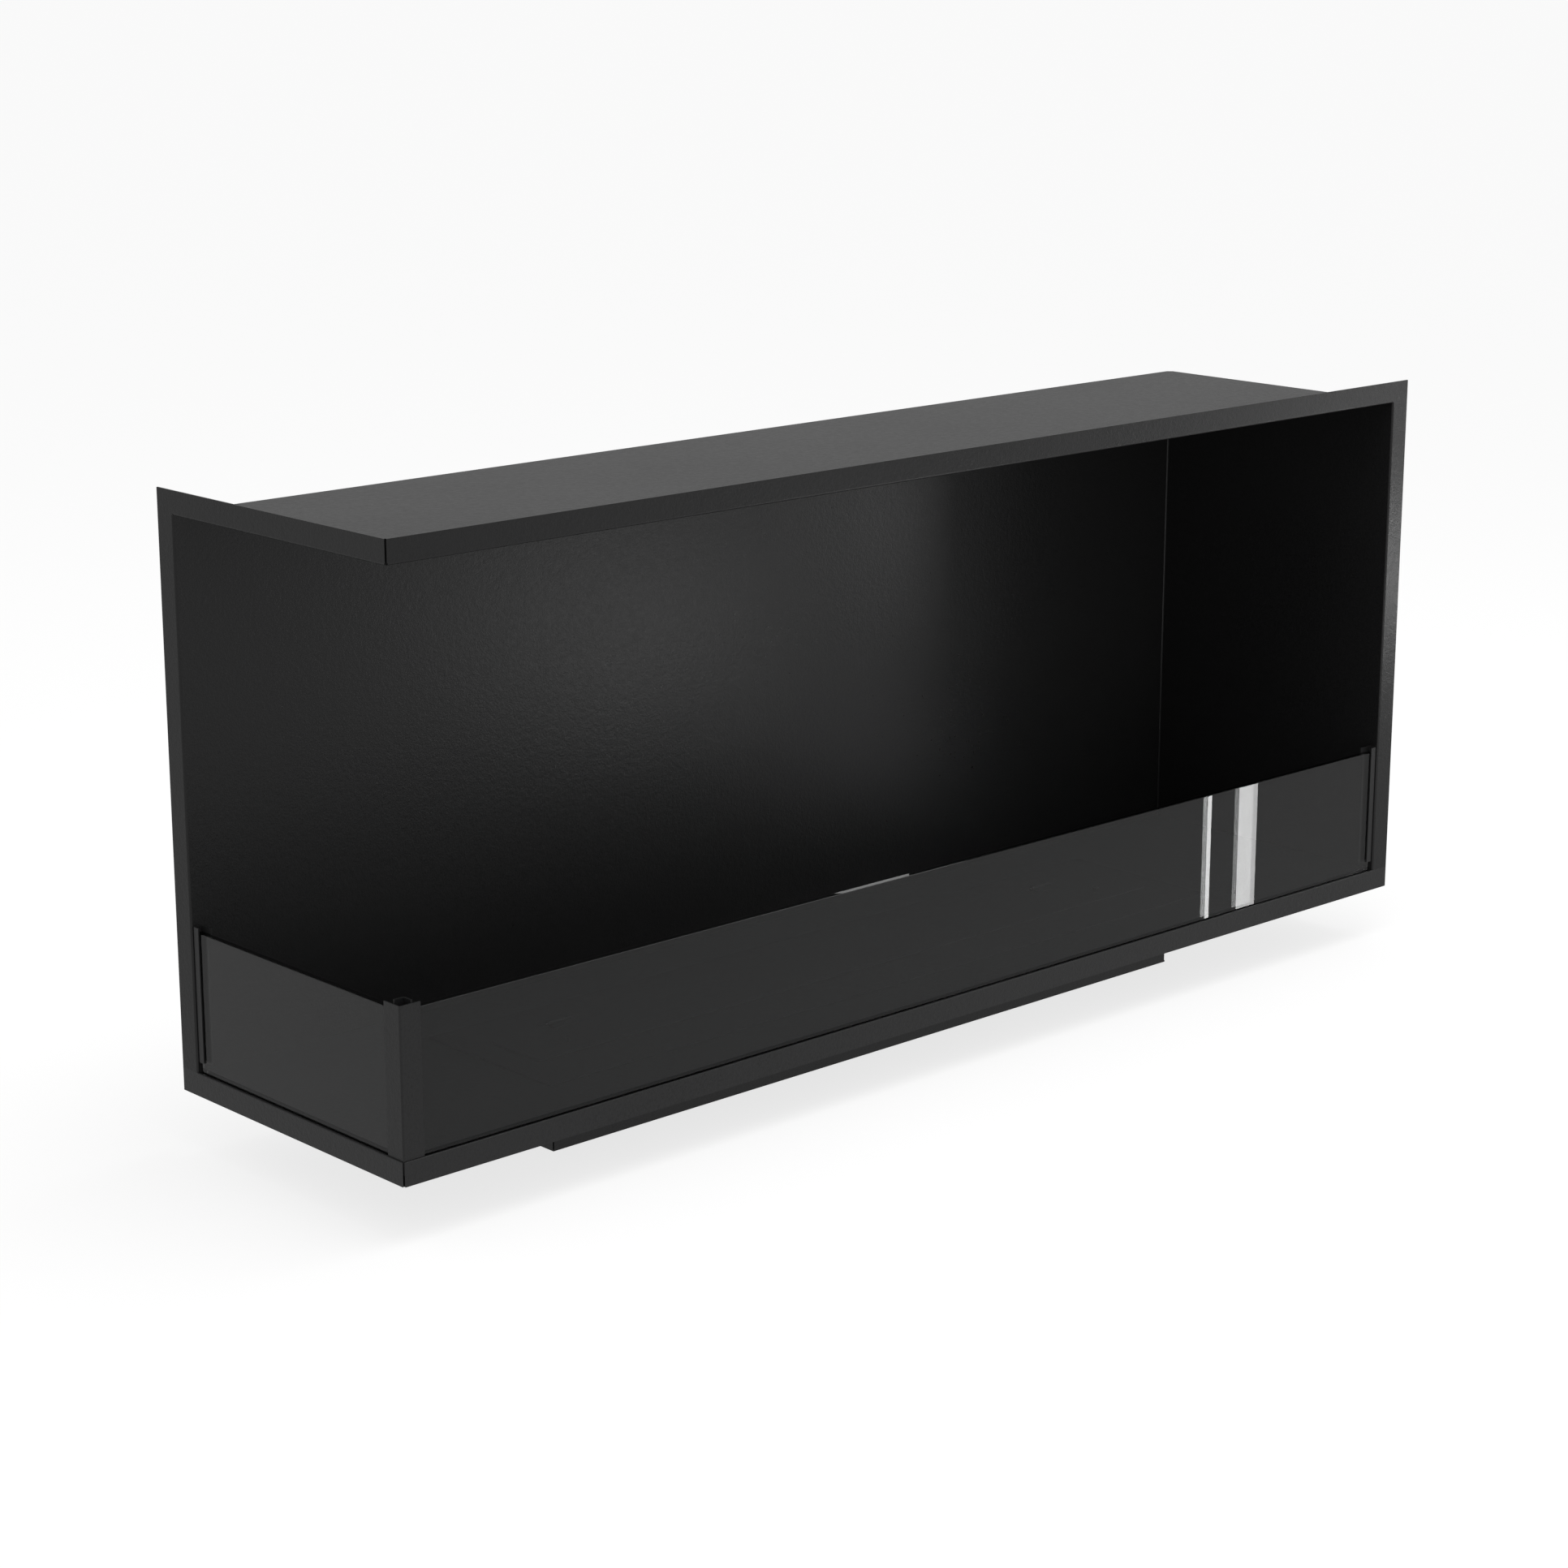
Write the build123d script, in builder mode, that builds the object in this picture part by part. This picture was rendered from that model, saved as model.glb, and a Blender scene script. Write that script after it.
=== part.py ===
from build123d import *

import os

# A corner wall niche of folded black sheet steel, open at the front and at the left side.
# A trim band stands out all round both openings and covers the edge of the wall board.
# Low glass screens stand in a sunken rail behind the bottom trim, held at the corner by a
# post and at the far ends by upright channels. A well hangs through the middle of the floor
# and takes a lift-out burner with a hinged lid.
# The origin is the centre of the footprint, at the underside of the well; +X runs along the
# front from the open corner, +Y runs back into the wall, +Z is up. Lengths are millimetres.

os.makedirs("parts", exist_ok=True)

# ---- overall sizes ----
trim_length = 1692.0
trim_depth = 424.0
trim_height = 706.0
well_drop = 68.0

# ---- folded sheet ----
sheet = 2.0
fold_inside = 0.5
trim_reach = 26.0
trim_corner_gap = 1.5
fold_relief = 3.0
joint_lip = 20.0
lip_corner_cut = 6.0
floor_rise = 1.0
fold_strip = 18.0
trim_edge_round = 1.0
trim_backing = 6.0
corner_cove = 2.0

# ---- glass screens and what holds them ----
glass_thickness = 8.0
glass_play = 0.3
glass_end_play = 3.0
glass_edge_ease = 0.6
glass_top_height = 197.0
guard_height = 203.5
guard_sheet = 1.6
guard_gap = 0.2
floor_setback = 18.0
rail_depth = 17.0
rail_lip = 20.0
post_leg = 28.0
post_liner_apex = 27.0
post_liner_sheet = 2.5
glass_in_post = 14.0
channel_outer_leg = 10.5
channel_inner_leg = 21.0
channel_foot_gap = 12.0
block_height = 4.0
front_block_count = 4
left_block_count = 2
bead_drop = 0.5
bead_end_gap = 0.3
block_length = 60.0
buffer_thickness = 2.0

# ---- well and burner ----
well_length = 1067.0
well_width = 163.0
well_seam = 1.5
well_flange = 15.0
burner_plate_length = 1133.0
burner_plate_width = 229.0
burner_plate_corner = 2.0
burner_sheet = 1.5
burner_edge_round = 0.5
lift_gap = 0.3
tank_corner = 4.0
tank_side_gap = 8.0
tank_floor_gap = 6.0
slot_length = 1000.0
slot_width = 56.0
absorber_gap = 1.0
absorber_height = 52.0
absorber_count = 3
baffle_width = 70.0
baffle_hole = 9.0
baffle_pitch = 24.0

# ---- lid and its hinges ----
lid_length = 1053.0
lid_width = 90.0
lid_thickness = 2.0
lid_tongue = 1.2
tongue_gap = 2.5
knob_spacing = 916.0
knob_setback = 29.0
knob_diameter = 9.0
knob_neck = 5.0
knob_height = 8.0
knob_cap_flare = 0.8
knob_cap_low = 4.8
knob_cap_high = 6.8
hinge_spacing = 840.0
hinge_offset = 4.2
knuckle_diameter = 6.4
knuckle_length = 12.0
knuckle_gap = 0.4
pin_diameter = 3.0
pin_clearance = 0.05
leaf_thickness = 1.2
leaf_length = 42.0
leaf_width = 14.0

# ---- fixings ----
rivet_shank = 3.2
rivet_head = 6.5
rivet_head_height = 1.2
rivet_dome = 1.6
rivet_end_gap = 50.0
rear_rivet_count = 9
side_rivet_count = 4
screw_shank = 4.0
screw_head = 7.5
screw_head_height = 2.6
screw_head_ease = 0.6
screw_end_gap = 60.0
screw_count_long = 8
bracket_width = 40.0
bracket_leg = 30.0
bracket_reach = 22.0
bracket_sheet = 2.5
bracket_hole = 6.5
bracket_spacing = 600.0
bracket_count = 3
bracket_edge = 14.0
bracket_hole_edge = 7.8

# ---- planes worked out from the sizes above ----
x_left = -trim_length / 2
x_right = trim_length / 2
y_front = -trim_depth / 2
y_rear = trim_depth / 2
z_low = well_drop
z_high = well_drop + trim_height

fold_outside = fold_inside + sheet
case_right = x_right - trim_reach
case_rear = y_rear - trim_reach
side_outer = case_right - sheet
side_inner = side_outer - sheet
back_outer = case_rear - sheet
back_inner = back_outer - sheet
roof_top = z_high - trim_reach
roof_under = roof_top - sheet
bottom_trim_top = z_low + trim_reach + sheet
floor_top = bottom_trim_top + floor_rise
floor_under = floor_top - sheet

rail_floor = floor_top - rail_depth
guard_face = sheet + guard_gap
glass_face = guard_face + guard_sheet + glass_play
glass_back = glass_face + glass_thickness
slot_back = glass_back + glass_play
glass_bottom = rail_floor + block_height + lift_gap
glass_top = z_low + glass_top_height
guard_top = z_low + guard_height
channel_foot = floor_top + channel_foot_gap

case_x = (x_left + case_right) / 2
case_y = (y_front + case_rear) / 2
plate_under = floor_top + lift_gap
plate_top = plate_under + burner_sheet
tank_length = well_length - 2 * (sheet + tank_side_gap)
tank_width = well_width - 2 * (sheet + tank_side_gap)
tank_bottom = sheet + tank_floor_gap
absorber_bottom = tank_bottom + burner_sheet
absorber_top = absorber_bottom + absorber_height
lid_under = plate_top + lift_gap
lid_top = lid_under + lid_thickness
lid_rear = case_y + lid_width / 2
hinge_y = lid_rear + hinge_offset
hinge_z = plate_top + lift_gap + knuckle_diameter / 2


# ---- helpers ----
def add_block(x_span, y_span, z_span, mode=Mode.ADD):
    """Add or cut a rectangular block between pairs of low and high coordinates."""
    low = Vector(x_span[0], y_span[0], z_span[0])
    high = Vector(x_span[1], y_span[1], z_span[1])
    size = high - low
    with Locations(low + size / 2):
        Box(size.X, size.Y, size.Z, mode=mode)


def add_fold(plane, path, length, thickness=sheet):
    """Add folded sheet: path is the sheet's middle line on the plane, drawn out for length."""
    with BuildSketch(plane) as profile:
        with BuildLine():
            FilletPolyline(*path, radius=fold_inside + thickness / 2)
        trace(line_width=thickness)
    extrude(profile.sketch, amount=length)


def add_prism(outline, z_span):
    """Add an upright prism on a plan outline."""
    with BuildSketch(Plane.XY.offset(z_span[0])) as plan:
        with BuildLine():
            Polyline(*outline, close=True)
        make_face()
    extrude(plan.sketch, amount=z_span[1] - z_span[0])


def finish_part(builder, name):
    """Label a finished piece and write it as its own file."""
    builder.part.label = name
    export_step(builder.part, f"parts/{name}.step")


def spread(low, high, count):
    """Evenly spaced places from low to high, both ends included."""
    return [low + (high - low) * i / (count - 1) for i in range(count)]


def front_trim_outline(start):
    """Plan of the front trim: mitred beside the open corner, from start on its outer face."""
    near = x_left + start
    return [
        (near, y_front),
        (x_right, y_front),
        (x_right, y_front + sheet),
        (near + sheet, y_front + sheet),
    ]


def left_trim_outline(start):
    """Plan of the left trim: mitred beside the open corner, from start on its outer face."""
    near = y_front + start
    return [
        (x_left, near),
        (x_left + sheet, near + sheet),
        (x_left + sheet, y_rear),
        (x_left, y_rear),
    ]


def add_trim_backing(z_span):
    """Add the small block that closes the mitre gap from behind, at the open corner."""
    add_block(
        (x_left + sheet, x_left + sheet + trim_backing),
        (y_front + sheet, y_front + sheet + trim_backing),
        z_span,
    )


# ---- rivet places, shared by the panels and the rivets ----
rear_rivets_x = spread(x_left + rivet_end_gap, side_outer - joint_lip - rivet_end_gap, rear_rivet_count)
side_rivets_y = spread(y_front + rivet_end_gap, back_inner - rivet_end_gap, side_rivet_count)
roof_rivet_z = roof_top - joint_lip / 2 - sheet / 2
floor_rivet_z = floor_under + joint_lip / 2 + sheet / 2


def cut_rear_rivet_holes(z_place):
    """Cut a row of rivet holes through everything that stands at the back."""
    with Locations(*[(x, back_outer, z_place) for x in rear_rivets_x]):
        Cylinder(rivet_shank / 2, 4 * sheet, rotation=(90, 0, 0), mode=Mode.SUBTRACT)


def cut_side_rivet_holes(z_place):
    """Cut a row of rivet holes through everything that stands at the right side."""
    with Locations(*[(side_outer, y, z_place) for y in side_rivets_y]):
        Cylinder(rivet_shank / 2, 4 * sheet, rotation=(0, 90, 0), mode=Mode.SUBTRACT)


# ---- casing ----
def build_roof():
    """Roof: turned up into the trim at the front and left, down into lips at the rear and right."""
    middle_z = roof_under + sheet / 2
    lip_low = roof_top - joint_lip
    upright_low = roof_under + fold_outside
    with BuildPart() as roof:
        add_fold(
            Plane.YZ.offset(x_left + fold_relief),
            [
                (y_front + sheet / 2, z_high),
                (y_front + sheet / 2, middle_z),
                (y_front + fold_strip, middle_z),
            ],
            side_inner - x_left - fold_relief,
        )
        add_fold(
            Plane.XZ.offset(-back_inner),
            [
                (x_left + sheet / 2, z_high),
                (x_left + sheet / 2, middle_z),
                (x_left + fold_strip, middle_z),
            ],
            back_inner - y_front - fold_relief,
        )
        add_prism(front_trim_outline(trim_corner_gap), (upright_low, z_high))
        add_prism(left_trim_outline(trim_corner_gap), (upright_low, z_high))
        add_block((side_inner, x_right), (y_front, y_front + sheet), (roof_under, z_high))
        add_block((x_left, x_left + sheet), (back_inner, y_rear), (roof_under, z_high))
        add_block((x_left, case_right), (back_inner, case_rear), (roof_under, roof_top))
        add_block((side_inner, case_right), (y_front, case_rear), (roof_under, roof_top))
        add_block(
            (x_left + fold_outside, case_right),
            (y_front + fold_outside, case_rear),
            (roof_under, roof_top),
        )
        rear_corner = (case_right, case_rear, roof_top)
        chamfer(roof.edges().filter_by(Axis.Z).sort_by_distance(rear_corner)[0], lip_corner_cut)
        add_block(
            (x_left + fold_strip, side_outer - joint_lip - lip_corner_cut),
            (back_outer, case_rear),
            (lip_low, roof_under),
        )
        add_block(
            (side_outer, case_right),
            (y_front + fold_strip, back_outer - lip_corner_cut),
            (lip_low, roof_under),
        )
        add_trim_backing((roof_top, z_high))
        cut_rear_rivet_holes(roof_rivet_z)
        cut_side_rivet_holes(roof_rivet_z)
    finish_part(roof, "roof_panel")


def build_back():
    """Back: its left edge is turned outwards into the upright trim at the wall end."""
    middle_y = back_inner + sheet / 2
    with BuildPart() as back:
        add_fold(
            Plane.XY.offset(bottom_trim_top),
            [
                (x_left + sheet / 2, y_rear),
                (x_left + sheet / 2, middle_y),
                (x_left + floor_setback, middle_y),
            ],
            roof_under - bottom_trim_top,
        )
        add_block(
            (x_left + floor_setback, side_inner - fold_inside),
            (back_inner, back_outer),
            (floor_top, roof_under),
        )
        add_block(
            (x_left + guard_face, x_left + floor_setback),
            (back_inner, back_outer),
            (rail_floor, bottom_trim_top),
        )
        cut_rear_rivet_holes(roof_rivet_z)
        cut_rear_rivet_holes(floor_rivet_z)
    finish_part(back, "back_panel")


def build_side():
    """Right side: turned outwards into the upright trim, with a lip lapped behind the back."""
    middle_x = side_inner + sheet / 2
    with BuildPart() as side:
        add_fold(
            Plane.XY.offset(bottom_trim_top),
            [
                (x_right, y_front + sheet / 2),
                (middle_x, y_front + sheet / 2),
                (middle_x, y_front + floor_setback),
            ],
            roof_under - bottom_trim_top,
        )
        add_fold(
            Plane.XY.offset(floor_top),
            [
                (middle_x, y_front + floor_setback),
                (middle_x, back_outer + sheet / 2),
                (side_outer - joint_lip, back_outer + sheet / 2),
            ],
            roof_under - floor_top,
        )
        add_block(
            (side_inner, side_outer),
            (y_front + guard_face, y_front + floor_setback),
            (rail_floor, bottom_trim_top),
        )
        with BuildSketch(Plane.XY.offset(floor_top)) as cove:
            with Locations((side_inner - corner_cove / 2, back_inner - corner_cove / 2)):
                Rectangle(corner_cove, corner_cove)
            with Locations((side_inner - corner_cove, back_inner - corner_cove)):
                Circle(corner_cove, mode=Mode.SUBTRACT)
        extrude(cove.sketch, amount=roof_under - floor_top)
        cut_side_rivet_holes(roof_rivet_z)
        cut_side_rivet_holes(floor_rivet_z)
    finish_part(side, "side_panel")


def build_floor():
    """Floor: set back behind the glass rail, lipped up outside the back and side, cut for the well."""
    lip_high = floor_under + joint_lip
    with BuildPart() as floor:
        add_block(
            (x_left + floor_setback, case_right),
            (y_front + floor_setback, case_rear),
            (floor_under, floor_top),
        )
        rear_corner = (case_right, case_rear, floor_top)
        chamfer(floor.edges().filter_by(Axis.Z).sort_by_distance(rear_corner)[0], lip_corner_cut)
        add_block(
            (x_left + floor_setback, side_outer - joint_lip - lip_corner_cut),
            (back_outer, case_rear),
            (floor_top, lip_high),
        )
        add_block(
            (side_outer, case_right),
            (y_front + floor_setback, back_outer - lip_corner_cut),
            (floor_top, lip_high),
        )
        with BuildSketch(Plane.XY.offset(floor_under)):
            with Locations((case_x, case_y)):
                Rectangle(well_length - 2 * sheet, well_width - 2 * sheet)
        extrude(amount=sheet, mode=Mode.SUBTRACT)
        with Locations(*[(x, y, floor_top - sheet / 2) for x, y in well_screw_places()]):
            Cylinder(screw_shank / 2, sheet, mode=Mode.SUBTRACT)
        cut_rear_rivet_holes(floor_rivet_z)
        cut_side_rivet_holes(floor_rivet_z)
    finish_part(floor, "floor_panel")


def build_bottom_trims():
    """Bottom trim strips, front and left, with rounded top edges between the upright trims."""
    with BuildPart() as front_trim:
        add_prism(front_trim_outline(trim_corner_gap), (z_low, bottom_trim_top))
        end_block = (side_inner, x_right), (y_front, y_front + sheet), (z_low, bottom_trim_top)
        add_block(*end_block, mode=Mode.SUBTRACT)
        top_edge = front_trim.edges().filter_by(Axis.X).group_by(Axis.Z)[-1].sort_by(Axis.Y)[0]
        fillet(top_edge, trim_edge_round)
        add_block(*end_block)
        add_trim_backing((z_low, rail_floor - sheet))
    finish_part(front_trim, "front_bottom_trim")
    with BuildPart() as left_trim:
        add_prism(left_trim_outline(trim_corner_gap), (z_low, bottom_trim_top))
        end_block = (x_left, x_left + sheet), (back_inner, y_rear), (z_low, bottom_trim_top)
        add_block(*end_block, mode=Mode.SUBTRACT)
        top_edge = left_trim.edges().filter_by(Axis.Y).group_by(Axis.Z)[-1].sort_by(Axis.X)[0]
        fillet(top_edge, trim_edge_round)
        add_block(*end_block)
    finish_part(left_trim, "left_bottom_trim")


# ---- glass rails, post and channels ----
def rail_path(outer_face):
    """Middle line of a rail: floor, rear wall, then a lip under the niche floor."""
    bottom = rail_floor - sheet / 2
    wall = outer_face + floor_setback + sheet / 2
    lip = floor_under - sheet / 2
    return [
        (outer_face + sheet, bottom),
        (wall, bottom),
        (wall, lip),
        (wall + rail_lip, lip),
    ]


def build_rails():
    """Sunken rails behind the bottom trims, in which the glass stands."""
    inner_corner = floor_setback + sheet
    lip_end = inner_corner + rail_lip
    with BuildPart() as front_rail:
        add_fold(
            Plane.YZ.offset(x_left + inner_corner),
            rail_path(y_front),
            side_inner - x_left - inner_corner,
        )
        add_block(
            (x_left + sheet, x_left + inner_corner),
            (y_front + sheet, y_front + inner_corner),
            (rail_floor - sheet, rail_floor),
        )
        add_block(
            (x_left + floor_setback, x_left + inner_corner),
            (y_front + floor_setback, y_front + inner_corner),
            (rail_floor, floor_under),
        )
    finish_part(front_rail, "front_glass_rail")
    with BuildPart() as left_rail:
        add_fold(
            Plane.XZ.offset(-back_inner),
            rail_path(x_left),
            back_inner - y_front - inner_corner,
        )
        add_block(
            (x_left + inner_corner, x_left + lip_end + sheet),
            (y_front + inner_corner, y_front + lip_end + sheet),
            (rail_floor, floor_top),
            mode=Mode.SUBTRACT,
        )
    finish_part(left_rail, "left_glass_rail")


def build_post():
    """Corner post: an outer angle in front of the glass and a liner angle behind it."""
    outer_mid = guard_face + guard_sheet / 2
    outer_end = guard_face + post_leg
    with BuildPart() as post:
        add_fold(
            Plane.XY.offset(rail_floor),
            [
                (x_left + outer_end, y_front + outer_mid),
                (x_left + outer_mid, y_front + outer_mid),
                (x_left + outer_mid, y_front + outer_end),
            ],
            guard_top - rail_floor,
            thickness=guard_sheet,
        )
    finish_part(post, "corner_post")
    liner_mid = post_liner_apex - post_liner_sheet / 2
    with BuildPart() as liner:
        add_fold(
            Plane.XY.offset(floor_top),
            [
                (x_left + slot_back, y_front + liner_mid),
                (x_left + liner_mid, y_front + liner_mid),
                (x_left + liner_mid, y_front + slot_back),
            ],
            guard_top - floor_top,
            thickness=post_liner_sheet,
        )
    finish_part(liner, "corner_post_liner")


def build_channels():
    """Upright channels on the back and on the side, taking the far ends of the glass."""
    outer_mid = guard_face + guard_sheet / 2
    inner_mid = slot_back + guard_sheet / 2
    with BuildPart() as rear_channel:
        add_fold(
            Plane.XY.offset(rail_floor),
            [
                (x_left + outer_mid, back_inner - channel_outer_leg),
                (x_left + outer_mid, back_inner - guard_sheet / 2),
                (x_left + inner_mid, back_inner - guard_sheet / 2),
                (x_left + inner_mid, back_inner - channel_inner_leg),
            ],
            guard_top - rail_floor,
            thickness=guard_sheet,
        )
        add_block(
            (x_left, x_left + floor_setback),
            (back_inner - channel_inner_leg, back_inner - guard_sheet),
            (rail_floor, channel_foot),
            mode=Mode.SUBTRACT,
        )
    finish_part(rear_channel, "rear_glass_channel")
    with BuildPart() as side_channel:
        add_fold(
            Plane.XY.offset(rail_floor),
            [
                (side_inner - channel_outer_leg, y_front + outer_mid),
                (side_inner - guard_sheet / 2, y_front + outer_mid),
                (side_inner - guard_sheet / 2, y_front + inner_mid),
                (side_inner - channel_inner_leg, y_front + inner_mid),
            ],
            guard_top - rail_floor,
            thickness=guard_sheet,
        )
        add_block(
            (side_inner - channel_inner_leg, side_inner - guard_sheet),
            (y_front, y_front + floor_setback),
            (rail_floor, channel_foot),
            mode=Mode.SUBTRACT,
        )
    finish_part(side_channel, "side_glass_channel")


# ---- glass and rubber ----
front_glass_x = (x_left + glass_in_post, side_inner - guard_sheet - glass_end_play)
left_glass_y = (y_front + glass_in_post, back_inner - guard_sheet - glass_end_play)


def build_glass():
    """Front and left glass screens with polished, eased edges."""
    with BuildPart() as front_glass:
        add_block(
            front_glass_x,
            (y_front + glass_face, y_front + glass_back),
            (glass_bottom, glass_top),
        )
        chamfer(front_glass.edges(), glass_edge_ease)
    finish_part(front_glass, "front_glass")
    with BuildPart() as left_glass:
        add_block(
            (x_left + glass_face, x_left + glass_back),
            left_glass_y,
            (glass_bottom, glass_top),
        )
        chamfer(left_glass.edges(), glass_edge_ease)
    finish_part(left_glass, "left_glass")


def build_beads():
    """Flat beads that close the slot between the bottom trims and the glass, from post to channel."""
    bead_depth = (guard_face, guard_face + guard_sheet)
    bead_height = (rail_floor, bottom_trim_top - bead_drop)
    bead_start = guard_face + post_leg + bead_end_gap
    bead_stop = guard_sheet + bead_end_gap
    with BuildPart() as front_bead:
        add_block(
            (x_left + bead_start, side_inner - bead_stop),
            (y_front + bead_depth[0], y_front + bead_depth[1]),
            bead_height,
        )
    finish_part(front_bead, "front_glass_bead")
    with BuildPart() as left_bead:
        add_block(
            (x_left + bead_depth[0], x_left + bead_depth[1]),
            (y_front + bead_start, back_inner - bead_stop),
            bead_height,
        )
    finish_part(left_bead, "left_glass_bead")


def build_rubbers():
    """Setting blocks under the glass and end buffers in the channels."""
    block_span = (glass_face - glass_play, glass_back + glass_play)
    end_reach = 2 * block_length
    front_places = spread(front_glass_x[0] + end_reach, front_glass_x[1] - end_reach, front_block_count)
    with BuildPart() as front_blocks:
        for place in front_places:
            add_block(
                (place - block_length / 2, place + block_length / 2),
                (y_front + block_span[0], y_front + block_span[1]),
                (rail_floor, rail_floor + block_height),
            )
    finish_part(front_blocks, "front_setting_blocks")
    left_places = spread(left_glass_y[0] + block_length, left_glass_y[1] - block_length, left_block_count)
    with BuildPart() as left_blocks:
        for place in left_places:
            add_block(
                (x_left + block_span[0], x_left + block_span[1]),
                (place - block_length / 2, place + block_length / 2),
                (rail_floor, rail_floor + block_height),
            )
    finish_part(left_blocks, "left_setting_blocks")
    buffer_span = (glass_face + fold_inside, glass_back - fold_inside)
    with BuildPart() as buffers:
        add_block(
            (side_inner - guard_sheet - buffer_thickness, side_inner - guard_sheet),
            (y_front + buffer_span[0], y_front + buffer_span[1]),
            (channel_foot, glass_top - block_height),
        )
        add_block(
            (x_left + buffer_span[0], x_left + buffer_span[1]),
            (back_inner - guard_sheet - buffer_thickness, back_inner - guard_sheet),
            (channel_foot, glass_top - block_height),
        )
    finish_part(buffers, "glass_end_buffers")


# ---- well ----
def well_screw_places():
    """Plan places of the screws that hold the well's flange under the floor."""
    side_y = well_width / 2 + well_flange / 2
    end_x = well_length / 2 + well_flange / 2
    reach = well_length / 2 - screw_end_gap
    along = spread(-reach, reach, screw_count_long)
    places = [(case_x + x, case_y + s * side_y) for x in along for s in (-1, 1)]
    places += [(case_x + s * end_x, case_y) for s in (-1, 1)]
    return places


def build_well():
    """Well: a folded box with open corner seams and a flange that is screwed under the floor."""
    with BuildPart() as well:
        with BuildSketch():
            with Locations((case_x, case_y)):
                Rectangle(well_length, well_width)
        extrude(amount=floor_under)
        rim = well.faces().sort_by(Axis.Z)[-1]
        offset(amount=-sheet, openings=rim)
        with BuildSketch(Plane.XY.offset(floor_under - sheet)):
            with Locations((case_x, case_y)):
                Rectangle(well_length + 2 * well_flange, well_width + 2 * well_flange)
                Rectangle(well_length - 2 * sheet, well_width - 2 * sheet, mode=Mode.SUBTRACT)
        extrude(amount=sheet)
        for side_x, side_y in ((-1, -1), (-1, 1), (1, -1), (1, 1)):
            corner = (case_x + side_x * well_length / 2, case_y + side_y * well_width / 2)
            with BuildSketch(Plane.XY.offset(sheet)) as seam:
                with Locations(Location((*corner, 0), (0, 0, 45 * side_x * side_y))):
                    Rectangle(4 * sheet, well_seam)
            extrude(seam.sketch, amount=floor_under - 2 * sheet, mode=Mode.SUBTRACT)
        with Locations(*[(x, y, floor_under - sheet / 2) for x, y in well_screw_places()]):
            Cylinder(screw_shank / 2, sheet, mode=Mode.SUBTRACT)
    finish_part(well, "burner_well")
    with BuildPart() as screws:
        head_low = floor_under - sheet - screw_head_height
        with Locations(*[(x, y, head_low) for x, y in well_screw_places()]):
            Cylinder(
                screw_shank / 2,
                floor_top - head_low,
                align=(Align.CENTER, Align.CENTER, Align.MIN),
            )
            Cylinder(
                screw_head / 2,
                screw_head_height,
                align=(Align.CENTER, Align.CENTER, Align.MIN),
            )
        chamfer(screws.edges().filter_by(GeomType.CIRCLE).group_by(Axis.Z)[0], screw_head_ease)
    finish_part(screws, "well_screws")


# ---- burner ----
def build_burner():
    """Burner: a plate that lies on the floor, with a fuel tank hung under its long slot."""
    with BuildPart() as plate:
        with BuildSketch(Plane.XY.offset(plate_under)):
            with Locations((case_x, case_y)):
                RectangleRounded(burner_plate_length, burner_plate_width, burner_plate_corner)
                SlotOverall(slot_length, slot_width, mode=Mode.SUBTRACT)
        extrude(amount=burner_sheet)
        rim = plate.faces().sort_by(Axis.Z)[-1].outer_wire().edges()
        fillet(rim, burner_edge_round)
    finish_part(plate, "burner_plate")
    with BuildPart() as tank:
        with BuildSketch(Plane.XY.offset(tank_bottom)):
            with Locations((case_x, case_y)):
                RectangleRounded(tank_length, tank_width, tank_corner)
        extrude(amount=plate_under - tank_bottom)
        rim = tank.faces().sort_by(Axis.Z)[-1]
        offset(amount=-burner_sheet, openings=rim)
    finish_part(tank, "burner_tank")
    inner_length = tank_length - 2 * (burner_sheet + absorber_gap)
    inner_width = tank_width - 2 * (burner_sheet + absorber_gap)
    piece_length = (inner_length - (absorber_count - 1) * absorber_gap) / absorber_count
    reach = (inner_length - piece_length) / 2
    block_x = [case_x + x for x in spread(-reach, reach, absorber_count)]
    with BuildPart() as absorbers:
        with Locations(*[(x, case_y, absorber_bottom) for x in block_x]):
            Box(
                piece_length,
                inner_width,
                absorber_height,
                align=(Align.CENTER, Align.CENTER, Align.MIN),
            )
    finish_part(absorbers, "absorber_blocks")
    hole_count = int((slot_length - 2 * baffle_pitch) // baffle_pitch)
    with BuildPart() as baffle:
        with BuildSketch(Plane.XY.offset(absorber_top)):
            with Locations((case_x, case_y)):
                Rectangle(inner_length, baffle_width)
                with GridLocations(baffle_pitch, baffle_pitch, hole_count, 2):
                    Circle(baffle_hole / 2, mode=Mode.SUBTRACT)
        extrude(amount=burner_sheet)
    finish_part(baffle, "vapour_baffle")


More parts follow.
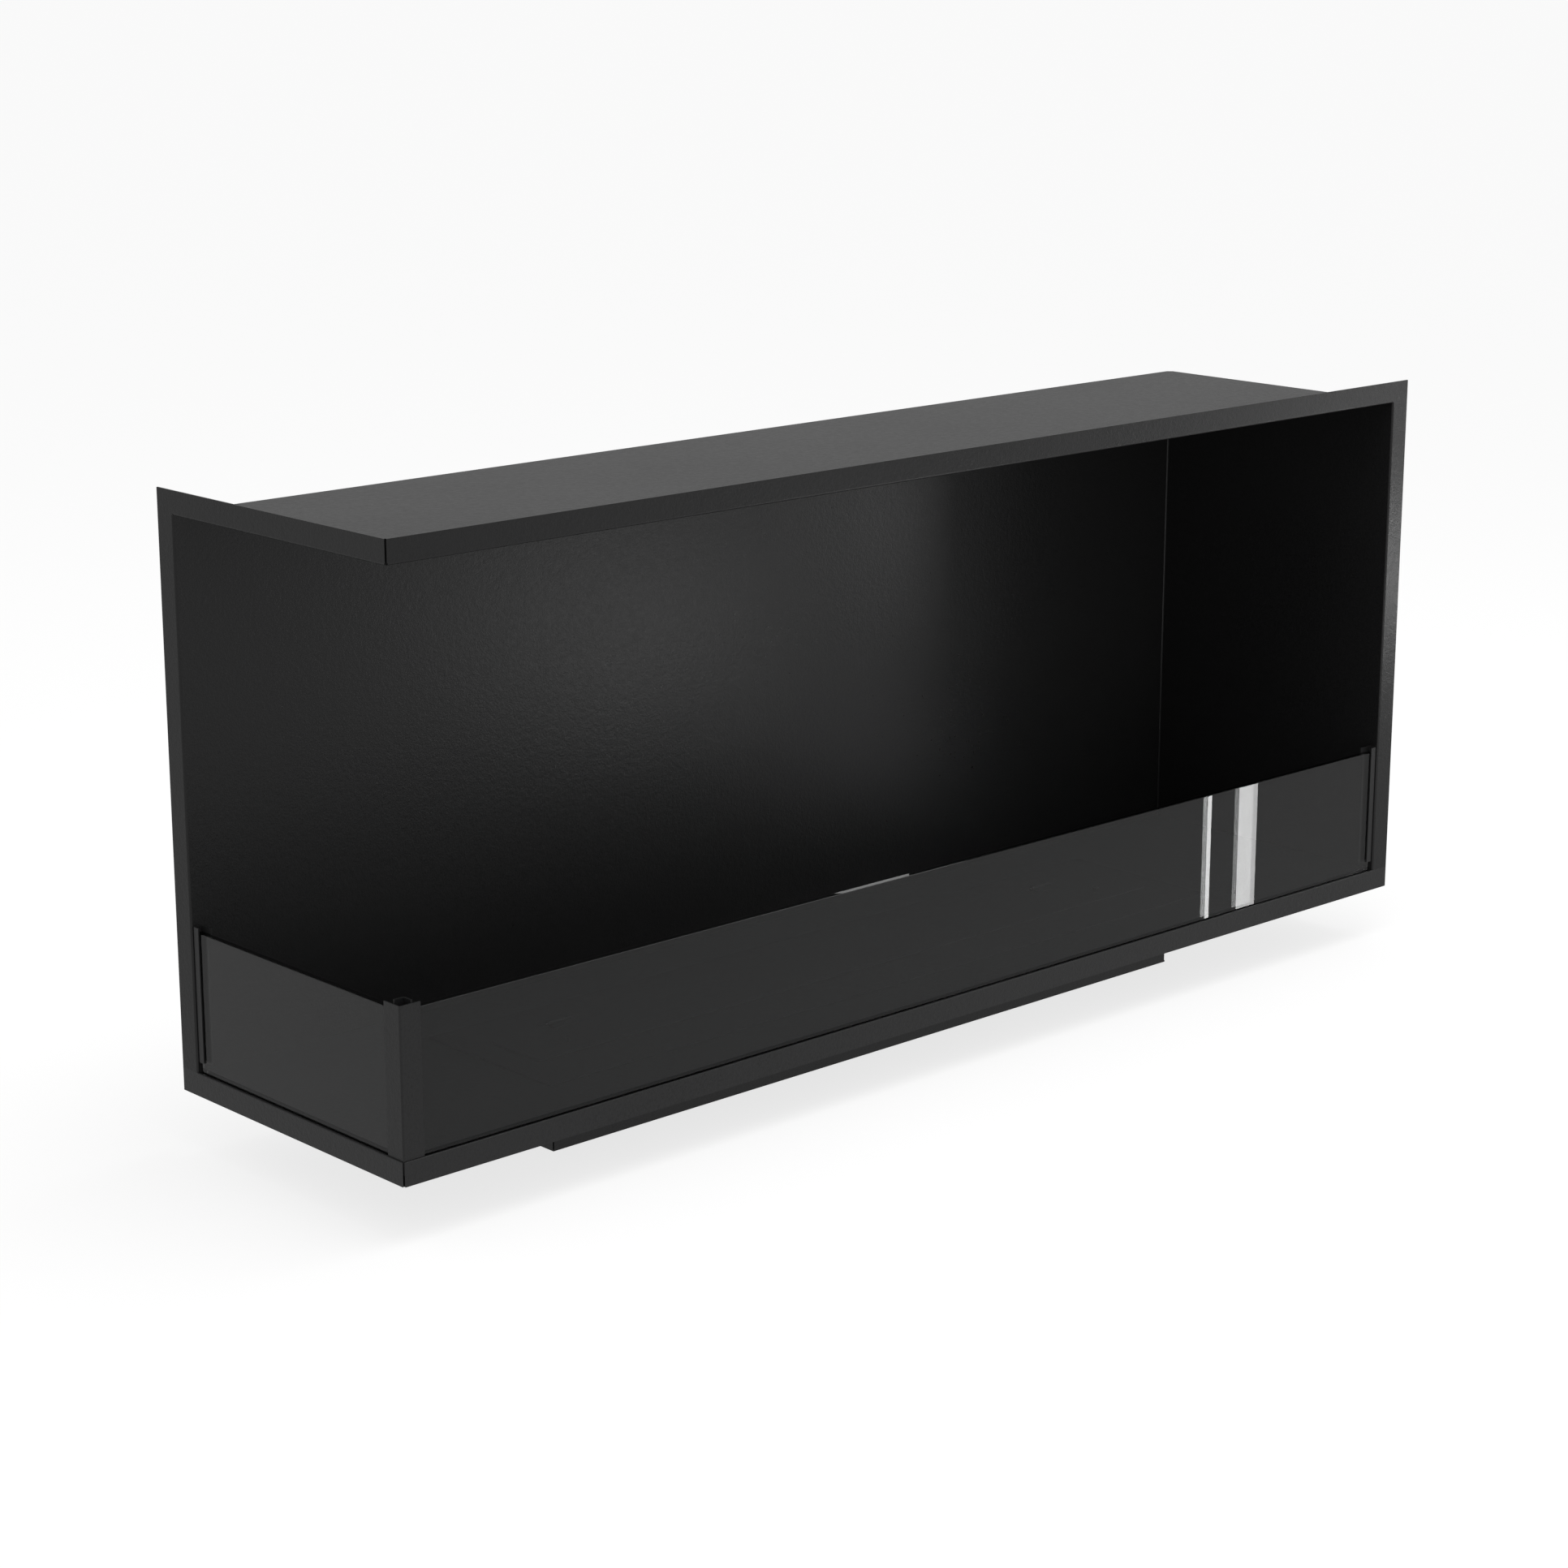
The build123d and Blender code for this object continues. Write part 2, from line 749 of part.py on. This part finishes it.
# ---- lid ----
def build_lid():
    """Lid over the slot, with a tongue that drops into it and two knobs near the front edge."""
    with BuildPart() as lid:
        with BuildSketch(Plane.XY.offset(lid_under)):
            with Locations((case_x, case_y)):
                RectangleRounded(lid_length, lid_width, burner_plate_corner)
        extrude(amount=lid_thickness)
        fillet(lid.faces().sort_by(Axis.Z)[-1].edges(), lid_thickness / 2)
        with BuildSketch(Plane.XY.offset(lid_under - lid_tongue)):
            with Locations((case_x, case_y)):
                SlotOverall(slot_length - 2 * tongue_gap, slot_width - 2 * tongue_gap)
        extrude(amount=lid_tongue)
    finish_part(lid, "burner_lid")
    knob_y = case_y - lid_width / 2 + knob_setback
    with BuildPart() as knobs:
        for side in (-1, 1):
            with BuildSketch(Plane.XZ.offset(-knob_y)) as profile:
                with BuildLine():
                    centre = case_x + side * knob_spacing / 2
                    Polyline(
                        (centre, lid_top),
                        (centre + knob_neck / 2, lid_top),
                        (centre + knob_neck / 2, lid_top + knob_cap_low - knob_cap_flare),
                        (centre + knob_diameter / 2, lid_top + knob_cap_low),
                        (centre + knob_diameter / 2, lid_top + knob_cap_high),
                        (centre + knob_neck / 2, lid_top + knob_height),
                        (centre, lid_top + knob_height),
                        close=True,
                    )
                make_face()
            revolve(profile.sketch, axis=Axis((centre, knob_y, 0), (0, 0, 1)))
    finish_part(knobs, "lid_knobs")


def hinge_centres():
    """Places along X of the two lid hinges."""
    return [case_x + side * hinge_spacing / 2 for side in (-1, 1)]


def add_knuckle(x_low, length, bore):
    """Add one hinge knuckle round the hinge axis, bored through."""
    with Locations((x_low + length / 2, hinge_y, hinge_z)):
        Cylinder(knuckle_diameter / 2, length, rotation=(0, 90, 0))
        Cylinder(bore / 2, length, rotation=(0, 90, 0), mode=Mode.SUBTRACT)


def build_hinges():
    """Hinges: bases on the plate with two knuckles each, leaves on the lid with one, and pins."""
    base_offset = knuckle_length / 2 + knuckle_gap
    foot_y = hinge_y + knuckle_diameter / 2 + lift_gap
    with BuildPart() as bases:
        for centre in hinge_centres():
            add_block(
                (centre - leaf_length / 2, centre + leaf_length / 2),
                (foot_y, foot_y + leaf_width),
                (plate_top, plate_top + leaf_thickness),
            )
            for x_low in (centre - base_offset - knuckle_length, centre + base_offset):
                add_block(
                    (x_low, x_low + knuckle_length),
                    (hinge_y, foot_y),
                    (plate_top, plate_top + leaf_thickness),
                )
                add_block(
                    (x_low, x_low + knuckle_length),
                    (hinge_y, hinge_y + knuckle_diameter / 2),
                    (plate_top, hinge_z),
                )
                add_knuckle(x_low, knuckle_length, pin_diameter + 2 * pin_clearance)
    finish_part(bases, "lid_hinge_bases")
    with BuildPart() as leaves:
        for centre in hinge_centres():
            add_block(
                (centre - leaf_length / 2, centre + leaf_length / 2),
                (lid_rear - leaf_width, lid_rear - lid_thickness / 2),
                (lid_top, lid_top + leaf_thickness),
            )
            add_block(
                (centre - knuckle_length / 2, centre + knuckle_length / 2),
                (lid_rear - leaf_width, hinge_y),
                (lid_top, lid_top + leaf_thickness),
            )
            add_knuckle(centre - knuckle_length / 2, knuckle_length, pin_diameter)
    finish_part(leaves, "lid_hinge_leaves")
    pin_length = 3 * knuckle_length + 2 * knuckle_gap
    with BuildPart() as pins:
        with Locations(*[(centre, hinge_y, hinge_z) for centre in hinge_centres()]):
            Cylinder(pin_diameter / 2, pin_length, rotation=(0, 90, 0))
    finish_part(pins, "lid_hinge_pins")


# ---- rivets and wall brackets ----
bracket_rows = [
    (roof_top - joint_lip - bracket_edge, -1),
    (floor_under + joint_lip + bracket_edge, 1),
]
bracket_run = (bracket_count - 1) * bracket_spacing
bracket_places_x = spread(case_x - bracket_run / 2, case_x + bracket_run / 2, bracket_count)
bracket_hole_y = back_outer + bracket_reach - bracket_hole_edge


def build_rivets():
    """Rivets through the lapped lips at the back and at the side."""
    with BuildPart() as rivets:
        for z_place in (roof_rivet_z, floor_rivet_z):
            for x_place in rear_rivets_x:
                with Locations((x_place, case_rear, z_place)):
                    Cylinder(
                        rivet_shank / 2,
                        case_rear - back_inner,
                        rotation=(90, 0, 0),
                        align=(Align.CENTER, Align.CENTER, Align.MIN),
                    )
                    Cone(
                        rivet_dome,
                        rivet_head / 2,
                        rivet_head_height,
                        rotation=(90, 0, 0),
                        align=(Align.CENTER, Align.CENTER, Align.MAX),
                    )
            for y_place in side_rivets_y:
                with Locations((case_right, y_place, z_place)):
                    Cylinder(
                        rivet_shank / 2,
                        case_right - side_inner,
                        rotation=(0, -90, 0),
                        align=(Align.CENTER, Align.CENTER, Align.MIN),
                    )
                    Cone(
                        rivet_dome,
                        rivet_head / 2,
                        rivet_head_height,
                        rotation=(0, -90, 0),
                        align=(Align.CENTER, Align.CENTER, Align.MAX),
                    )
    finish_part(rivets, "casing_rivets")


def build_brackets():
    """Angle brackets on the back, each with a hole for a wall screw, standing clear of the lips."""
    with BuildPart() as brackets:
        for shelf_z, down in bracket_rows:
            leg_end = shelf_z + down * bracket_leg
            middle_y = back_outer + bracket_sheet / 2
            middle_z = shelf_z + down * bracket_sheet / 2
            for x_place in bracket_places_x:
                add_fold(
                    Plane.YZ.offset(x_place - bracket_width / 2),
                    [
                        (middle_y, leg_end),
                        (middle_y, middle_z),
                        (back_outer + bracket_reach, middle_z),
                    ],
                    bracket_width,
                    thickness=bracket_sheet,
                )
                with Locations((x_place, bracket_hole_y, middle_z)):
                    Cylinder(bracket_hole / 2, 2 * bracket_sheet, mode=Mode.SUBTRACT)
    finish_part(brackets, "wall_brackets")


build_roof()
build_back()
build_side()
build_floor()
build_bottom_trims()
build_rails()
build_post()
build_channels()
build_glass()
build_beads()
build_rubbers()
build_well()
build_burner()
build_lid()
build_hinges()
build_rivets()
build_brackets()
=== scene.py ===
"""Looks, light and camera for the two-sided corner recess firebox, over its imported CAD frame."""

import math

import bpy
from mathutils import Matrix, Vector


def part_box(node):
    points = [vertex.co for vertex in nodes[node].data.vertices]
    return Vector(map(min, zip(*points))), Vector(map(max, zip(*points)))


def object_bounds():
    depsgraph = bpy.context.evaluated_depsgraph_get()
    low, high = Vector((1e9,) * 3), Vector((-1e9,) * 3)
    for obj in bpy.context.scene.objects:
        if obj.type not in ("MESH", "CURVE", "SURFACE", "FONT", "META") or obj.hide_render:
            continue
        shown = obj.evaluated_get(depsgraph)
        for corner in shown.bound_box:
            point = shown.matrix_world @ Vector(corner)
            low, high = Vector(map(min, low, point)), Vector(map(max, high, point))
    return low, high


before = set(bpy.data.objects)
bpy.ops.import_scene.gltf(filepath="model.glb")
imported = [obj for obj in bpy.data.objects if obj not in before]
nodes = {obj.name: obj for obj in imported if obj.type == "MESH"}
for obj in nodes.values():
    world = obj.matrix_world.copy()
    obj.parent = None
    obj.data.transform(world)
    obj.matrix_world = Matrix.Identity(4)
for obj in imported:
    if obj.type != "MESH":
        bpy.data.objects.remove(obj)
cad_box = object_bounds()
screen_names = ("front_glass", "left_glass")
camera_ray = "Is Camera Ray"

# Noise mostly stays between these two values, so a blend or a remap spreads this range.
noise_low, noise_high = 0.3, 0.7


# ---------------------------------------------------------------- node helpers


class Finish:
    """A node material with one Principled shader and a few shorthands for procedural detail."""

    def __init__(self, name, **settings):
        self.material = bpy.data.materials.new(name)
        self.material.use_nodes = True
        self.tree = self.material.node_tree
        self.shader = self.tree.nodes["Principled BSDF"]
        self.output = self.tree.nodes["Material Output"]
        for socket, value in settings.items():
            self.shader.inputs[socket.replace("_", " ")].default_value = value
        self.place = self.tree.nodes.new("ShaderNodeTexCoord").outputs["Object"]

    def link(self, source, target):
        self.tree.links.new(source, target)

    def stretched(self, scale):
        """Object coordinates with each axis scaled, for grain that runs one way."""
        mapping = self.tree.nodes.new("ShaderNodeMapping")
        mapping.inputs["Scale"].default_value = scale
        self.link(self.place, mapping.inputs["Vector"])
        return mapping.outputs["Vector"]

    def noise(self, size, detail=2.0, roughness=0.5, place=None):
        """Noise with features about size metres across."""
        texture = self.tree.nodes.new("ShaderNodeTexNoise")
        texture.inputs["Scale"].default_value = 1.0 / size
        texture.inputs["Detail"].default_value = detail
        texture.inputs["Roughness"].default_value = roughness
        self.link(place or self.place, texture.inputs["Vector"])
        return texture.outputs["Fac"]

    def cells(self, size):
        """Cells about size metres across, each with its own random colour."""
        texture = self.tree.nodes.new("ShaderNodeTexVoronoi")
        texture.inputs["Scale"].default_value = 1.0 / size
        self.link(self.place, texture.inputs["Vector"])
        return texture.outputs["Color"]

    def remap(self, source, low, high, start=noise_low, end=noise_high):
        """The source's range from start to end, spread over low to high."""
        node = self.tree.nodes.new("ShaderNodeMapRange")
        node.inputs["From Min"].default_value = start
        node.inputs["From Max"].default_value = end
        node.inputs["To Min"].default_value = low
        node.inputs["To Max"].default_value = high
        self.link(source, node.inputs["Value"])
        return node.outputs["Result"]

    def add(self, first, second, share):
        """The first value with a share of the second added to it."""
        node = self.tree.nodes.new("ShaderNodeMath")
        node.operation = "MULTIPLY_ADD"
        node.inputs[1].default_value = share
        self.link(second, node.inputs[0])
        self.link(first, node.inputs[2])
        return node.outputs["Value"]

    def blend(self, factor, dark, light):
        """A colour between two greys or tints, by factor."""
        ramp = self.tree.nodes.new("ShaderNodeValToRGB")
        ramp.color_ramp.elements[0].color = (*dark, 1.0)
        ramp.color_ramp.elements[1].color = (*light, 1.0)
        ramp.color_ramp.elements[0].position = noise_low
        ramp.color_ramp.elements[1].position = noise_high
        self.link(factor, ramp.inputs["Fac"])
        return ramp.outputs["Color"]

    def bump(self, height, depth):
        """Surface relief from the height, depth metres deep."""
        node = self.tree.nodes.new("ShaderNodeBump")
        node.inputs["Distance"].default_value = depth
        node.inputs["Strength"].default_value = 1.0
        self.link(height, node.inputs["Height"])
        self.link(node.outputs["Normal"], self.shader.inputs["Normal"])

    def colour(self, source):
        self.link(source, self.shader.inputs["Base Color"])

    def roughness(self, source):
        self.link(source, self.shader.inputs["Roughness"])


# ------------------------------------------------------------------- materials


def grey(value):
    return (value, value, value * 1.02)


def powder_coat(name, value, gloss_low, gloss_high, grain=0.0022, depth=0.00022):
    """Fine-textured powder coat, with a tight grain, an orange-peel swell and slow drifts in tone."""
    f = Finish(name, IOR=1.5)
    grain_height = f.noise(grain, detail=3.0, roughness=0.6)
    peel = f.noise(0.006, detail=2.0)
    drift = f.noise(0.35, detail=3.0)
    speckle = f.add(f.noise(0.0026, detail=2.0, roughness=0.7), drift, 0.35)
    f.colour(f.blend(speckle, grey(value * 0.72), grey(value * 1.5)))
    f.roughness(f.remap(f.add(peel, drift, 0.6), gloss_low, gloss_high, 0.45, 1.15))
    f.bump(f.add(grain_height, peel, 0.9), depth)
    return f.material


def clear_glass():
    """Toughened float glass with a light grey tint, that lets light through to what is behind it."""
    tint = (0.44, 0.445, 0.445, 1.0)
    shadow_tint = (0.62, 0.62, 0.62, 1.0)
    f = Finish("clear_glass", Base_Color=tint, IOR=1.5)
    f.shader.inputs["Transmission Weight"].default_value = 1.0
    f.roughness(f.remap(f.noise(0.22, detail=4.0), 0.0, 0.0025))
    see_through = f.tree.nodes.new("ShaderNodeBsdfTransparent")
    see_through.inputs["Color"].default_value = shadow_tint
    ray = f.tree.nodes.new("ShaderNodeLightPath")
    choice = f.tree.nodes.new("ShaderNodeMixShader")
    f.link(ray.outputs["Is Shadow Ray"], choice.inputs["Fac"])
    f.link(f.shader.outputs["BSDF"], choice.inputs[1])
    f.link(see_through.outputs["BSDF"], choice.inputs[2])
    f.link(choice.outputs["Shader"], f.output.inputs["Surface"])
    return f.material


def black_rubber():
    f = Finish("black_rubber", IOR=1.45)
    bloom = f.noise(0.012, detail=4.0)
    f.colour(f.blend(bloom, grey(0.009), grey(0.020)))
    f.roughness(f.remap(bloom, 0.62, 0.82))
    f.bump(f.noise(0.0014, detail=3.0), 0.00012)
    return f.material


def satin_steel():
    """Turned stainless steel, with fine tool marks."""
    f = Finish("satin_steel", Metallic=1.0)
    marks = f.noise(0.0009, detail=3.0, place=f.stretched((0.12, 0.12, 1.0)))
    f.colour(f.blend(marks, grey(0.52), grey(0.72)))
    f.roughness(f.remap(marks, 0.20, 0.34))
    f.bump(marks, 0.00003)
    return f.material


def zinc_plate():
    """Zinc plating, with a faint spangle."""
    f = Finish("zinc_plate", Metallic=1.0)
    spangle = f.cells(0.004)
    f.colour(f.blend(spangle, (0.40, 0.42, 0.45), (0.60, 0.61, 0.62)))
    f.roughness(f.remap(f.noise(0.003, detail=4.0), 0.32, 0.52))
    f.bump(f.noise(0.001, detail=2.0), 0.00003)
    return f.material


def ceramic_fibre():
    """Pressed white fibre, matted at its surface."""
    f = Finish("ceramic_fibre", IOR=1.4)
    mat = f.noise(0.0012, detail=6.0, roughness=0.7, place=f.stretched((0.35, 1.0, 1.0)))
    f.colour(f.blend(mat, (0.72, 0.70, 0.66), (0.90, 0.89, 0.86)))
    f.roughness(f.remap(mat, 0.85, 1.0))
    f.bump(mat, 0.0006)
    return f.material


coat_gloss = (0.27, 0.35)
burner_gloss = (0.40, 0.50)

finishes = {
    "casing_black": powder_coat("casing_black", 0.012, *coat_gloss),
    "trim_black": powder_coat("trim_black", 0.022, *coat_gloss, depth=0.00030),
    "guard_black": powder_coat("guard_black", 0.019, *coat_gloss),
    "burner_black": powder_coat("burner_black", 0.011, *burner_gloss, grain=0.0008, depth=0.00006),
    "clear_glass": clear_glass(),
    "black_rubber": black_rubber(),
    "steel": satin_steel(),
    "zinc": zinc_plate(),
    "fibre": ceramic_fibre(),
}

for node in nodes.values():
    for holder in node.material_slots:
        holder.material = finishes[holder.material.name.split(".")[0]]


# ----------------------------------------------------------------------- stage

lowest, highest = cad_box
centre = (lowest + highest) / 2

# The direction from the casing to the camera. The edge glint mirrors it, so it comes first.
view_azimuth = math.radians(-42.718)
view_elevation = math.radians(14.724)
away = Vector(
    (
        math.sin(view_azimuth) * math.cos(view_elevation),
        -math.cos(view_azimuth) * math.cos(view_elevation),
        math.sin(view_elevation),
    )
)


def stage_floor(half_width, paper_grey, paper_lift, card_glow):
    """A plain pale floor under the casing, which mirrored and bounced light sees as an even card."""
    mesh = bpy.data.meshes.new("studio_floor")
    low, high = -half_width, half_width
    corners = [(low, low), (high, low), (high, high), (low, high)]
    mesh.from_pydata([(x, y, lowest.z) for x, y in corners], [], [(0, 1, 2, 3)])
    floor = bpy.data.objects.new("studio_floor", mesh)
    bpy.context.scene.collection.objects.link(floor)
    material = bpy.data.materials.new("studio_floor")
    material.use_nodes = True
    tree = material.node_tree
    tree.nodes.clear()
    paper = tree.nodes.new("ShaderNodeBsdfDiffuse")
    paper.inputs["Color"].default_value = (paper_grey, paper_grey, paper_grey, 1.0)
    lift = tree.nodes.new("ShaderNodeEmission")
    lift.inputs["Strength"].default_value = paper_lift
    both = tree.nodes.new("ShaderNodeAddShader")
    tree.links.new(paper.outputs["BSDF"], both.inputs[0])
    tree.links.new(lift.outputs["Emission"], both.inputs[1])
    card = tree.nodes.new("ShaderNodeEmission")
    card.inputs["Strength"].default_value = card_glow
    ray = tree.nodes.new("ShaderNodeLightPath")
    choice = tree.nodes.new("ShaderNodeMixShader")
    tree.links.new(ray.outputs[camera_ray], choice.inputs["Fac"])
    tree.links.new(card.outputs["Emission"], choice.inputs[1])
    tree.links.new(both.outputs["Shader"], choice.inputs[2])
    output = tree.nodes.new("ShaderNodeOutputMaterial")
    tree.links.new(choice.outputs["Shader"], output.inputs["Surface"])
    mesh.materials.append(material)


def surroundings(strength):
    """An even soft room, white where the camera looks straight at it."""
    world = bpy.data.worlds.new("studio_room")
    bpy.context.scene.world = world
    world.use_nodes = True
    tree = world.node_tree
    background = tree.nodes["Background"]
    background.inputs["Color"].default_value = (1.0, 1.0, 1.0, 1.0)
    ray = tree.nodes.new("ShaderNodeLightPath")
    level = tree.nodes.new("ShaderNodeMapRange")
    level.inputs["To Min"].default_value = strength
    level.inputs["To Max"].default_value = 1.0
    tree.links.new(ray.outputs[camera_ray], level.inputs["Value"])
    tree.links.new(level.outputs["Result"], background.inputs["Strength"])


def area_light(name, position, aim, width, height, power, shape="RECTANGLE"):
    """A lamp of the given size and watts that faces its aim and isn't seen by the camera."""
    data = bpy.data.lights.new(name, "AREA")
    data.shape = shape
    data.size = width
    data.size_y = height
    data.energy = power
    lamp = bpy.data.objects.new(name, data)
    bpy.context.scene.collection.objects.link(lamp)
    lamp.location = position
    lamp.rotation_mode = "QUATERNION"
    lamp.rotation_quaternion = (Vector(aim) - Vector(position)).to_track_quat("-Z", "Y")
    lamp.visible_camera = False
    return lamp


stage_floor(half_width=60.0, paper_grey=0.50, paper_lift=0.76, card_glow=0.385)
surroundings(strength=0.38)
area_light("top_softbox", (0.3, -0.6, 3.2), centre, width=2.6, height=2.0, power=30.0)

back_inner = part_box("back_panel")[0].y
trim_face = lowest.y
glass_low, glass_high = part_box("front_glass")
glass_face = glass_low.y

screens = bpy.data.collections.new("screens")
painted = bpy.data.collections.new("painted")
for name, node in nodes.items():
    group = screens if name in screen_names else painted
    group.objects.link(node)


def glow(name, position, aim, size, power):
    """A round lamp for a soft glow on the sheet metal, which the glass doesn't mirror."""
    lamp = area_light(name, position, aim, size, size, power, "DISK")
    lamp.light_linking.receiver_collection = painted


glow("back_wall_glow", (0.62, -0.86, 0.27), (-0.219, back_inner, 0.554), size=0.30, power=0.45)
glow("right_band_glow", (1.75, -0.94, 0.30), (0.83, trim_face, 0.52), size=0.20, power=0.86)
glow("top_band_glow", (1.72, -0.92, 0.66), (0.75, trim_face, 0.76), size=0.24, power=0.32)


def glass_strip(name, place_x, reach, width, power):
    """An upright strip light in front of the front screen at place_x, which lights the screens only."""
    height = glass_high.z - lowest.z
    position = (place_x + reach[0], glass_face + reach[1], lowest.z + height / 2)
    lamp = area_light(name, position, (place_x, glass_face, position[2]), width, height, power)
    lamp.light_linking.receiver_collection = screens


glass_strip("slim_strip", 0.481, (0.215, -0.190), width=0.0055, power=0.048)
glass_strip("broad_strip", 0.560, (0.217, -0.188), width=0.0255, power=0.135)


def edge_glint(place_x, reach, width, height, power):
    """A small card behind the front screen, mirrored by its polished top edge only."""
    edge = Vector((place_x, (glass_low.y + glass_high.y) / 2, glass_high.z))
    mirrored = Vector((-away.x, -away.y, away.z))
    lamp = area_light("edge_glint", edge + mirrored * reach, edge, width, height, power)
    lamp.visible_transmission = False
    lamp.light_linking.receiver_collection = screens


edge_glint(place_x=-0.142, reach=0.20, width=0.103, height=0.034, power=0.0084)


# ---------------------------------------------------------------------- camera

view_distance = 4.345
aim_offset = Vector((-0.062, 0.037, -0.059))
camera_aim = centre + aim_offset

camera_data = bpy.data.cameras.new("camera")
camera_data.lens = 79.69
camera_data.sensor_width = 36.0
camera = bpy.data.objects.new("camera", camera_data)
bpy.context.scene.collection.objects.link(camera)
camera.location = camera_aim + away * view_distance
camera.rotation_mode = "QUATERNION"
camera.rotation_quaternion = (-away).to_track_quat("-Z", "Y")
bpy.context.scene.camera = camera
bpy.context.scene.view_settings.view_transform = "Standard"
